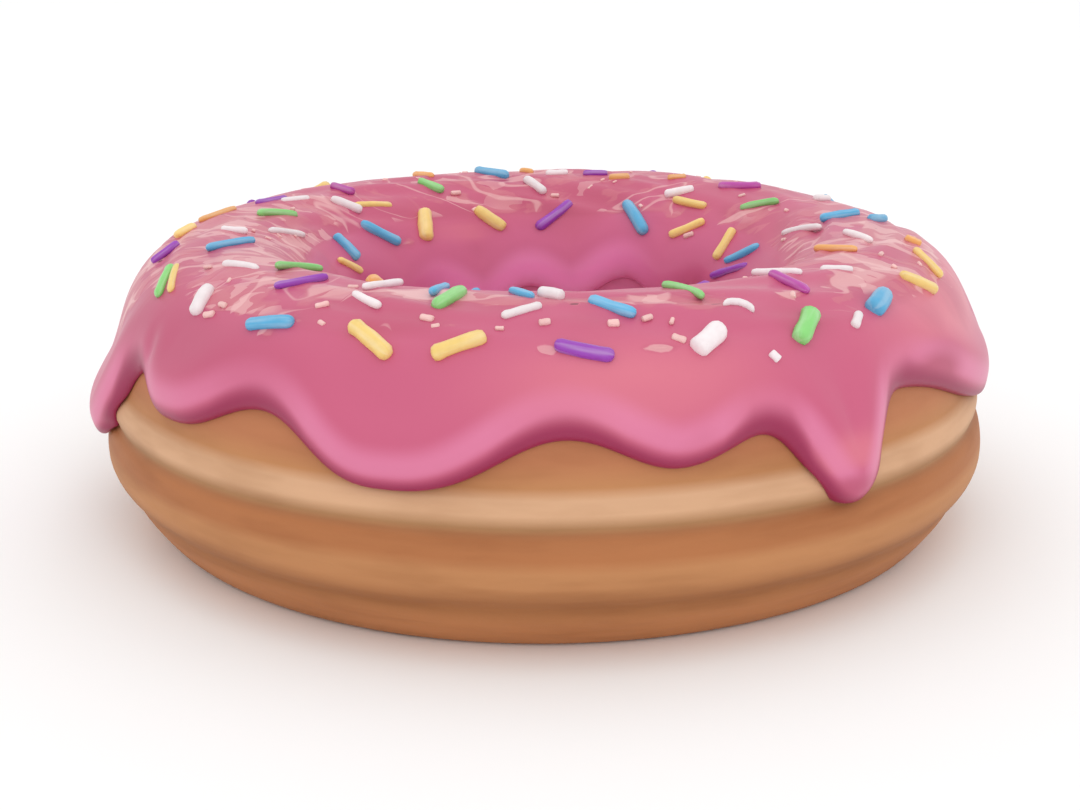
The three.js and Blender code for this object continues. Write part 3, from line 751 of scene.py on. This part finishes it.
def sugar_icing(icing):
    """Set fondant icing: smooth and satin, with paler streaks and flakes of painted sheen on the
    crown, a painted lilac highlight on its thick bead, and painted shade in deep pink under its
    nose."""
    material, tree = new_material("set_fondant_icing")
    spread = add_node(tree, "ShaderNodeAttribute", attribute_name="spread").outputs["Fac"]
    place = add_node(tree, "ShaderNodeTexCoord").outputs["Object"]
    # The knife pulled the icing sideways, and the painted sheen runs the same way: millimetres, drawn
    # out along X and down the sides.
    pulled = add_node(tree, "ShaderNodeVectorMath", {
        0: place, 1: (520.0, 1000.0, 420.0)}, operation="MULTIPLY").outputs["Vector"]
    # Dull patches 8 mm across, and patches of painted sheen: smooth pale ones of 5 mm, torn ones of
    # 2 mm, and the waves whose middles are drawn as thin curved strokes.
    worked, sheen_patch, torn_sheen, wave = [
        add_node(tree, "ShaderNodeTexNoise", {
            "Vector": pulled, "Scale": scale, "Detail": detail, "Distortion": distortion,
        }).outputs["Fac"] for scale, detail, distortion in (
            (0.12, 1.5, 0.5), (0.2, 2.5, 0.9), (0.5, 3.0, 0.8), (0.15, 1.2, 0.7))]
    sheen_stroke = add_node(tree, "ShaderNodeMath", {0: wave, 1: 0.5}, operation="PINGPONG").outputs[0]
    # Flakes of painted sheen with straight edges, 2 mm across, and dark specks of 0.5 mm: a share of
    # the cells.
    warp = add_node(tree, "ShaderNodeTexNoise", {"Vector": pulled, "Scale": 0.3, "Detail": 2.0})
    warped = add_node(tree, "ShaderNodeVectorMath", {
        0: warp.outputs["Color"], 1: (5.0, 5.0, 5.0), 2: pulled}, operation="MULTIPLY_ADD")
    cell = add_node(tree, "ShaderNodeTexVoronoi", {"Vector": warped.outputs["Vector"], "Scale": 0.5})
    draw = add_node(tree, "ShaderNodeSeparateXYZ", {"Vector": cell.outputs["Color"]}).outputs["X"]
    speck = add_node(tree, "ShaderNodeMapRange", {
        "Value": cell.outputs["Distance"], "From Min": 0.16, "From Max": 0.11, "To Max": 0.8})

    # Colours from the mesh's attributes: the painted shade and light of the blushes, the hole's pink,
    # its painted glow and the painted lilac highlight on the bead.
    coats = []
    for name in ("mauve_shade", "rosy_light", "hole", "hole_lilac", "lilac"):
        share = add_node(tree, "ShaderNodeAttribute", attribute_name=name).outputs["Fac"]
        coats.append((share, getattr(icing, name)))
    # A pattern shows as its value plus weight x spread goes from start to end: (pattern, weight,
    # start, end, strength, colour).
    # The salmon and pale rows paint sheen; the dull row and the dark specks are the icing's own tone.
    for pattern, weight, start, end, strength, shade in (
            (worked, 1.0, 0.6, 0.84, 0.6, icing.dull), (sheen_patch, 1.0, 0.83, 0.89, 0.55, icing.salmon_sheen),
            (torn_sheen, 1.0, 0.87, 0.93, 0.45, icing.salmon_sheen), (sheen_stroke, 0.2, 0.541, 0.552, 0.45, icing.pale),
            (draw, 1.2, 1.22, 1.3, 0.4, icing.pale),
            (draw, -1.2, -0.31, -0.32, speck.outputs[0], icing.speck)):
        level = add_node(tree, "ShaderNodeMath", {
            0: spread, 1: weight, 2: pattern}, operation="MULTIPLY_ADD")
        share = add_node(tree, "ShaderNodeMapRange", {
            "Value": level.outputs[0], "From Min": start, "From Max": end, "To Max": strength})
        coats.append((share.outputs[0], shade))
        if pattern == sheen_patch:
            raised = share.outputs[0]
    # Painted shade under the icing's nose.
    deep = add_node(tree, "ShaderNodeAttribute", attribute_name="deep").outputs["Fac"]
    coats.append((deep, icing.deep))
    pink = (*icing.pink, 1)
    for share, shade in coats:
        pink = add_node(tree, "ShaderNodeMix", {
            MIX_FACTOR: share, MIX_FIRST: pink, MIX_SECOND: (*shade, 1),
        }, data_type="RGBA").outputs[MIX_RESULT]
    # A grain of 1 mm, and patches that stand 0.1 mm proud.
    grain = add_node(tree, "ShaderNodeTexNoise", {"Vector": place, "Scale": 900.0, "Detail": 2.0})
    bump = add_node(tree, "ShaderNodeBump", {
        "Height": grain.outputs["Fac"], "Distance": 0.03 * MM, "Strength": 0.3})
    bump = add_node(tree, "ShaderNodeBump", {
        "Height": raised, "Distance": 0.15 * MM, "Strength": 0.5,
        "Normal": bump.outputs["Normal"]})
    shader = add_node(tree, "ShaderNodeBsdfPrincipled", {
        "Base Color": pink, "Roughness": 0.36, "IOR": 1.47, "Specular IOR Level": 0.4,
        "Normal": bump.outputs["Normal"]})
    add_node(tree, "ShaderNodeOutputMaterial", {"Surface": shader.outputs[0]})
    return material


def sugar_paste(name, shade, glaze):
    """Extruded sugar paste with a waxy glaze: mottled, with a soft shine and paler stripes that the
    nozzle drew along it."""
    material, tree = new_material(name)
    tint = add_node(tree, "ShaderNodeAttribute", attribute_name="tint").outputs["Fac"]
    grain = add_node(tree, "ShaderNodeAttribute", attribute_name="grain").outputs["Vector"]
    place = add_node(tree, "ShaderNodeTexCoord").outputs["Object"]
    mottle = add_node(tree, "ShaderNodeTexNoise", {"Vector": place, "Scale": 1400.0, "Detail": 2.0})
    value = add_node(tree, "ShaderNodeMath", {
        0: mottle.outputs["Fac"], 1: 0.16, 2: 0.92}, operation="MULTIPLY_ADD")
    value = add_node(tree, "ShaderNodeMath", {0: value.outputs[0], 1: tint}, operation="MULTIPLY")
    # Stripes 0.4 mm wide, in the grain's radii of the rod.
    stripe = add_node(tree, "ShaderNodeTexNoise", {"Vector": grain, "Scale": 1.1, "Detail": 2.0})
    stripe = add_node(tree, "ShaderNodeMapRange", {
        "Value": stripe.outputs["Fac"], "From Min": 0.45, "From Max": 0.65, "To Max": 0.15})
    striped = add_node(tree, "ShaderNodeMix", {
        MIX_FACTOR: stripe.outputs[0], MIX_FIRST: (*shade, 1),
        MIX_SECOND: (*glaze, 1)}, data_type="RGBA")
    paste = add_node(tree, "ShaderNodeHueSaturation", {
        "Color": striped.outputs[MIX_RESULT], "Value": value.outputs[0]})
    bump = add_node(tree, "ShaderNodeBump", {
        "Height": mottle.outputs["Fac"], "Distance": 0.06 * MM, "Strength": 0.5})
    shader = add_node(tree, "ShaderNodeBsdfPrincipled", {
        "Base Color": paste.outputs["Color"], "Roughness": 0.38, "IOR": 1.5,
        "Specular IOR Level": 0.5, "Normal": bump.outputs["Normal"]})
    add_node(tree, "ShaderNodeOutputMaterial", {"Surface": shader.outputs[0]})
    return material


# ---- Pieces ----

class DOUGHNUT_OT_add_dough(Operator):
    """Adds the fried dough ring"""
    bl_idname = "doughnut.add_dough"
    bl_label = "Add Dough"

    def execute(self, context):
        dough = context.scene.doughnut_dough
        ring = (360 * np.arange(DOUGH_LOOPS) / DOUGH_LOOPS)[:, None]
        tube = (DOUGH_SEAM - 360 + 360 * np.arange(DOUGH_STEPS) / DOUGH_STEPS)[None, :]
        points = dough_point(dough, ring, tube).reshape(-1, 3)
        tube_angle = np.broadcast_to(tube, (DOUGH_LOOPS, DOUGH_STEPS))
        piece = add_mesh(
            "dough_crust", points, ring_quads(DOUGH_LOOPS, DOUGH_STEPS),
            tube_angle=tube_angle.ravel(), flow=flow_space(ring, tube).reshape(-1, 3))
        piece.data.materials.append(fried_dough(dough))
        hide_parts("dough")
        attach(piece, "root")
        return {"FINISHED"}


class DOUGHNUT_OT_add_icing(Operator):
    """Adds the pink icing that ran down over the dough"""
    bl_idname = "doughnut.add_icing"
    bl_label = "Add Icing"

    def execute(self, context):
        dough = context.scene.doughnut_dough
        icing = context.scene.doughnut_icing
        ring = icing_rings(dough, icing)[:, None]
        outer = outer_edge(ring)
        inner = inner_edge(ring)
        outer_steps, crown_steps, inner_steps = ICING_STEPS
        tube = np.concatenate([
            steps_between(outer, OUTER_SHOULDER, outer_steps, 2),
            np.broadcast_to(
                steps_between(OUTER_SHOULDER, INNER_SHOULDER, crown_steps), (ICING_LOOPS, crown_steps)),
            steps_between(inner, INNER_SHOULDER, inner_steps + 1, 2)[:, ::-1],
        ], axis=1)
        height, fullness, from_outer, from_inner = icing_form(dough, icing, ring, tube)
        share = crown_share(tube)
        tuck = LIP_TUCK * (1 - fullness) ** 2
        tucked = tube + np.where(tube < 90, tuck, -tuck)
        reach = plain_reach(dough, ring, tube) + height + share * ripples(ring, tube)
        top = point_at(dough, ring, tucked, reach)
        under_tube = steps_between(inner - LIP_TUCK, outer + LIP_TUCK, UNDER_STEPS)
        under = dough_point(dough, ring, under_tube, -ICING_SINK)
        points = np.concatenate([top, under], axis=1)
        steps = points.shape[1]
        attributes = {}
        # The underside, hidden in the dough, takes all of the nose's painted shade and none of the
        # other colours.
        for name, top_share in icing_shares(ring, tube, from_outer, from_inner).items():
            under_share = np.full_like(under_tube, name == "deep")
            attributes[name] = np.concatenate([top_share, under_share], axis=1).ravel()
        piece = add_mesh(
            "pink_icing_coat", points.reshape(-1, 3), ring_quads(ICING_LOOPS, steps), **attributes)
        piece.data.materials.append(sugar_icing(icing))
        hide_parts("icing")
        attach(piece, "root")
        return {"FINISHED"}


def random_source(seed):
    """Repeatable random numbers from 0 to 1, by a linear congruential generator."""
    state = seed
    while True:
        state = (state * RANDOM_STEP + RANDOM_SHIFT) % RANDOM_RANGE
        yield state / RANDOM_RANGE


def filled_sprinkles():
    """The sprinkles that fill the rows, as a list of (colour, spot)."""
    random = random_source(FILL_SEED)
    filled = []
    for first, last, row, count in FILL_ROWS:
        for k in range(count):
            ring = first + (last - first) * (k + 0.5) / count + FILL_JOG * (next(random) - 0.5)
            tube = row + FILL_JOG * (next(random) - 0.5)
            heading = 180 * next(random)
            size = FILL_SHORTEST + (1 - FILL_SHORTEST) * next(random)
            thickness = FILL_THINNEST + (1 - FILL_THINNEST) * next(random)
            shade = FILL_COLOURS[len(filled) % len(FILL_COLOURS)]
            filled.append((shade, [ring, tube, heading, size, thickness]))
    return filled


def unit(vectors):
    return vectors / np.linalg.norm(vectors, axis=1, keepdims=True)


def sprinkle_rods(dough, icing, rod, spots, random):
    """Rods that lie in the icing, as arrays of points, four-cornered faces, three-cornered ones and
    the grain's coordinates.

    Along a rod, s runs from -1 to 1 and its radius is the root of 1 - |s|^END_POWER. Its middle
    line is bent sideways by bend x length x (1 - s^2)."""
    rods = len(spots)
    ring, tube, heading, size, thickness = np.array([spot[:5] for spot in spots], float).T
    slight = BEND * random.uniform(-1, 1, rods)
    bend = np.array([spot[5] if len(spot) > 5 else own for spot, own in zip(spots, slight)])

    def top(ring_step, tube_step):
        return icing_top(dough, icing, ring + ring_step, tube + tube_step)

    along_ring = unit(top(SLOPE_PROBE, 0) - top(-SLOPE_PROBE, 0))
    normal = unit(np.cross(along_ring, top(0, SLOPE_PROBE) - top(0, -SLOPE_PROBE)))
    up_tube = np.cross(normal, along_ring)
    axis = along_ring * cosine(heading)[:, None] + up_tube * sine(heading)[:, None]
    side = np.cross(axis, normal)
    middle = top(0, 0) + normal * (SPRINKLE_LIFT * rod.rod_radius * thickness)[:, None]

    even = np.linspace(-1, 1, SPRINKLE_STATIONS + 2)
    s = np.sign(even) * (1 - (1 - np.abs(even)) ** STATION_POWER)
    radius = rod.rod_radius * thickness[:, None] * np.sqrt(1 - np.abs(s) ** END_POWER)
    swell = 1 + UNEVENNESS * random.uniform(-1, 1, (rods, len(s)))
    angle = 360 * np.arange(SPRINKLE_SIDES) / SPRINKLE_SIDES
    along = (rod.rod_length * size / 2)[:, None] * s
    sideways = (rod.rod_length * size * bend)[:, None] * (1 - s ** 2)
    centre = middle[:, None] + axis[:, None] * along[..., None] + side[:, None] * sideways[..., None]
    around = side[:, None] * cosine(angle)[None, :, None] + normal[:, None] * sine(angle)[None, :, None]
    body = centre[:, 1:-1, None] + around[:, None] * (radius * swell)[:, 1:-1, None, None]
    points = np.concatenate([body.reshape(rods, -1, 3), centre[:, :1], centre[:, -1:]], axis=1)

    first = np.arange(SPRINKLE_SIDES)
    second = np.roll(first, -1)
    row = SPRINKLE_SIDES * np.arange(SPRINKLE_STATIONS - 1)[:, None]
    quads = np.stack([
        row + second, row + first, row + first + SPRINKLE_SIDES, row + second + SPRINKLE_SIDES,
    ], -1).reshape(-1, 4)
    start_pole = SPRINKLE_SIDES * SPRINKLE_STATIONS
    last_row = start_pole - SPRINKLE_SIDES
    caps = np.concatenate([
        np.stack([first, second, np.full_like(first, start_pole)], -1),
        np.stack([last_row + second, last_row + first, np.full_like(first, start_pole + 1)], -1)])
    offset = (np.arange(rods) * points.shape[1])[:, None, None]
    # The grain's coordinates turn with the rod, and run slowly along it.
    drawn = s / GRAIN_LENGTH
    turned = np.stack(np.broadcast_arrays(cosine(angle), sine(angle), drawn[1:-1, None]), -1)
    grain = np.concatenate([turned.reshape(-1, 3), [[0, 0, drawn[0]], [0, 0, drawn[-1]]]])
    grain = grain + GRAIN_STEP * np.arange(rods)[:, None, None]
    return points, (offset + quads).reshape(-1, 4), (offset + caps).reshape(-1, 3), grain


def strewn_crumbs(random):
    """The crumbs that lie apart, and for each streaked stretch some at even random places."""
    least, most = CRUMB_SIZES
    spots = list(CRUMBS)
    for middle, width, _ in SPREADS:
        spots.extend(random.uniform(
            [middle - width, CROWN[0], 0, *least], [middle + width, CROWN[1], 180, *most],
            (CRUMBS_A_STRETCH, 5)))
    return spots


class DOUGHNUT_OT_add_sprinkles(Operator):
    """Adds the sugar sprinkles and their crumbs, one piece for each colour"""
    bl_idname = "doughnut.add_sprinkles"
    bl_label = "Add Sprinkles"

    def execute(self, context):
        scene = context.scene
        rod = scene.doughnut_sprinkles
        random = np.random.default_rng(SPRINKLE_SEED)
        filled = filled_sprinkles()
        kinds = {
            name: strewn + [spot for shade, spot in filled if shade == name]
            for name, strewn in STREWN.items()}
        kinds["crumb"] = strewn_crumbs(random)
        for name, spots in kinds.items():
            points, quads, caps, grain = sprinkle_rods(
                scene.doughnut_dough, scene.doughnut_icing, rod, spots, random)
            tint = np.repeat(random.uniform(*TINTS, len(spots)), points.shape[1])
            piece = add_mesh(
                f"{name}_sprinkles", points.reshape(-1, 3), quads, caps,
                tint=tint, grain=grain.reshape(-1, 3))
            piece.data.materials.append(
                sugar_paste(f"{name}_sugar_paste", getattr(rod, name), rod.glaze))
            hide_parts("icing")
            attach(piece, "root")
        return {"FINISHED"}


# ---- Studio ----

FLOOR_HALF = 1.6
TOP_BOX_SIZE = 2.0
TOP_BOX_HEIGHT = 1.5
FRONT_BOX_SIZE = 0.5
FRONT_BOX_PLACE = (0.12, -0.65, 0.4)


def add_softbox(name, place, aim, size, power):
    """A square area light that faces the aim."""
    light = bpy.data.lights.new(name, "AREA")
    light.size = size
    light.energy = power
    box = bpy.data.objects.new(name, light)
    direction = np.array(aim) - np.array(place)
    box.location = place
    level = math.hypot(direction[0], direction[1])
    box.rotation_euler = (
        math.atan2(level, -direction[2]), 0, math.atan2(-direction[0], direction[1]))
    bpy.context.scene.collection.objects.link(box)


class DOUGHNUT_OT_set_stage(Operator):
    """Sets the pale floor, the soft light and the camera"""
    bl_idname = "doughnut.set_stage"
    bl_label = "Set Stage"

    def execute(self, context):
        scene = context.scene
        studio = scene.doughnut_studio
        floor_height = CAD_BOX[0][2]
        corners = FLOOR_HALF * np.array([[-1, -1, 0], [1, -1, 0], [1, 1, 0], [-1, 1, 0]], float)
        corners[:, 2] = floor_height
        floor = add_mesh("pale_floor", corners, np.array([[0, 1, 2, 3]]))
        material, tree = new_material("matt_white_paper")
        shader = add_node(tree, "ShaderNodeBsdfPrincipled", {
            "Base Color": (*studio.floor, 1), "Roughness": 0.9,
            "Specular IOR Level": 0.1})
        add_node(tree, "ShaderNodeOutputMaterial", {"Surface": shader.outputs[0]})
        floor.data.materials.append(material)

        scene.world = bpy.data.worlds.new("studio_room")
        scene.world.use_nodes = True
        tree = scene.world.node_tree
        tree.nodes.clear()
        # The room lights evenly, and looks white behind the doughnut.
        seen = add_node(tree, "ShaderNodeLightPath").outputs["Is Camera Ray"]
        strength = add_node(tree, "ShaderNodeMapRange", {
            "Value": seen, "To Min": studio.room_light, "To Max": 1.0})
        room = add_node(tree, "ShaderNodeBackground", {
            "Color": (1, 1, 1, 1), "Strength": strength.outputs[0]})
        add_node(tree, "ShaderNodeOutputWorld", {"Surface": room.outputs[0]})
        scene.view_settings.view_transform = "Standard"

        aim = (0, 0, studio.aim_height)
        add_softbox("top_softbox", (0, 0, TOP_BOX_HEIGHT), aim, TOP_BOX_SIZE, studio.top_light)
        add_softbox("front_softbox", FRONT_BOX_PLACE, aim, FRONT_BOX_SIZE, studio.front_light)

        camera = bpy.data.objects.new("camera", bpy.data.cameras.new("camera"))
        camera.data.lens = studio.lens
        camera.data.clip_start = 10 * MM
        elevation = studio.camera_elevation
        camera.location = (
            0,
            -studio.camera_distance * math.cos(elevation),
            studio.aim_height + studio.camera_distance * math.sin(elevation))
        camera.rotation_euler = (math.pi / 2 - elevation, 0, 0)
        scene.collection.objects.link(camera)
        scene.camera = camera
        return {"FINISHED"}


class DOUGHNUT_PT_build(Panel):
    """Lists the settings and the steps of the doughnut"""
    bl_idname = "DOUGHNUT_PT_build"
    bl_label = "Doughnut"
    bl_space_type = "VIEW_3D"
    bl_region_type = "UI"
    bl_category = "Doughnut"

    def draw(self, context):
        for label, (_, step) in STEPS.items():
            box = self.layout.box()
            settings = getattr(context.scene, label)
            for name in settings.__annotations__:
                box.prop(settings, name)
            box.operator(step.bl_idname)


# For each name under the scene, the settings that it holds and the step that uses them.
STEPS = {
    "doughnut_dough": (DoughSettings, DOUGHNUT_OT_add_dough),
    "doughnut_icing": (IcingSettings, DOUGHNUT_OT_add_icing),
    "doughnut_sprinkles": (SprinkleSettings, DOUGHNUT_OT_add_sprinkles),
    "doughnut_studio": (StudioSettings, DOUGHNUT_OT_set_stage),
}
CLASSES = [kind for pair in STEPS.values() for kind in pair] + [DOUGHNUT_PT_build]


def register():
    for kind in CLASSES:
        bpy.utils.register_class(kind)
    for label, (settings, _) in STEPS.items():
        setattr(bpy.types.Scene, label, PointerProperty(type=settings))


def unregister():
    for label in STEPS:
        delattr(bpy.types.Scene, label)
    for kind in reversed(CLASSES):
        bpy.utils.unregister_class(kind)


def main():
    register()
    bpy.ops.doughnut.add_dough()
    bpy.ops.doughnut.add_icing()
    bpy.ops.doughnut.add_sprinkles()
    bpy.ops.doughnut.set_stage()


if __name__ == "__main__":
    main()
